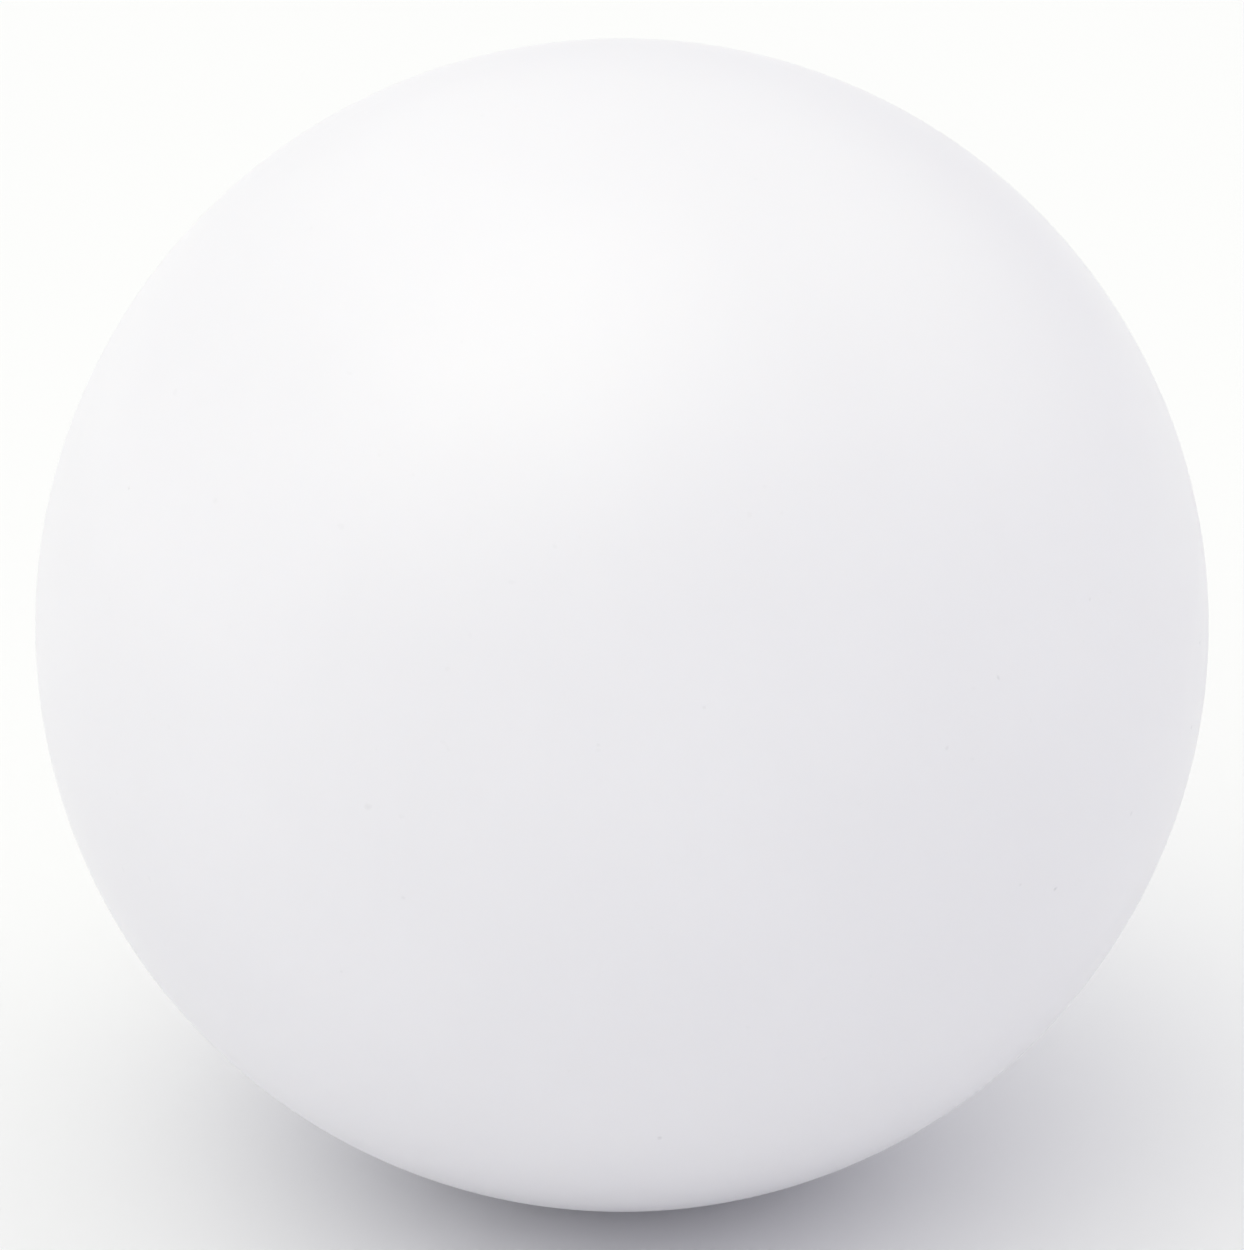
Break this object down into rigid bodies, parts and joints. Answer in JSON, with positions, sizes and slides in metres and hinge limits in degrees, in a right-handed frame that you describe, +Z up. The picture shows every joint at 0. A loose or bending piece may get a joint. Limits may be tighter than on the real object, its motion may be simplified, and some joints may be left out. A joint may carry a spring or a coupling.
{
  "type": "cue ball",
  "caption": "Plain white solid sphere of cast resin, struck by the cue in pool to drive the other balls.",
  "frame": {"origin": "centre of the ball", "axes": "+Z up through the ball's centre; every axis through the centre is an axis of symmetry"},
  "size_m": [0.0572, 0.0572, 0.0572],
  "materials": {
    "resin": "polished solid white resin, dulled a little by play"
  },
  "bodies": {
    "root": {"ball": "resin"}
  },
  "joints": []
}
